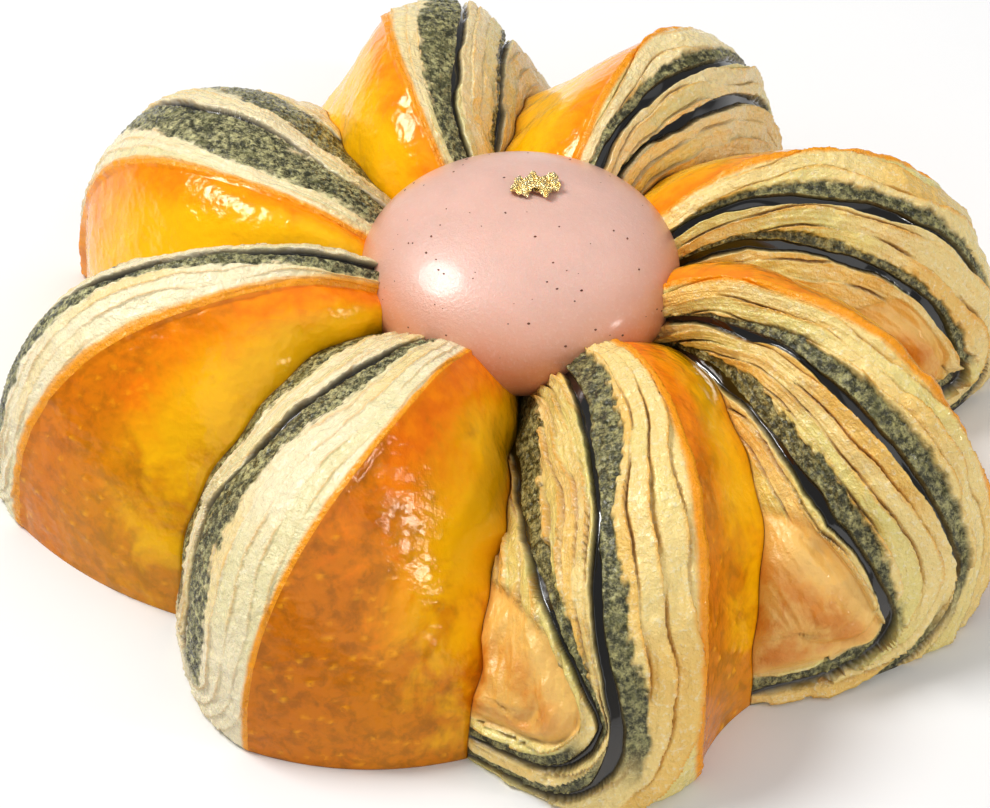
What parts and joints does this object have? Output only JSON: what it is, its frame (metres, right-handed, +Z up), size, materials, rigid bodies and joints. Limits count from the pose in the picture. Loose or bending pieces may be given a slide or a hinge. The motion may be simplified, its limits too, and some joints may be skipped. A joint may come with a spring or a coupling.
{
  "type": "danish pastry",
  "caption": "Flower-shaped laminated danish with glazed skins, striped cut faces, a pink gel dome in the middle and gold leaf.",
  "frame": {"origin": "on the ground, under the middle of the bounding box", "axes": "+Z up through the dome, +Y towards the rear petals, +X to the right as the picture shows it"},
  "size_m": [0.1242, 0.1306, 0.0359],
  "materials": {
    "crust": "baked laminated dough, glazed",
    "gel": "glossy set gel",
    "gold": "crumpled gold leaf"
  },
  "bodies": {
    "root": {"petal_1": "crust", "petal_2": "crust", "petal_3": "crust", "petal_4": "crust", "petal_5": "crust", "petal_6": "crust", "petal_7": "crust", "petal_8": "crust", "gel_dome": "gel", "gold_leaf_left": "gold", "gold_leaf_right": "gold"}
  },
  "joints": []
}
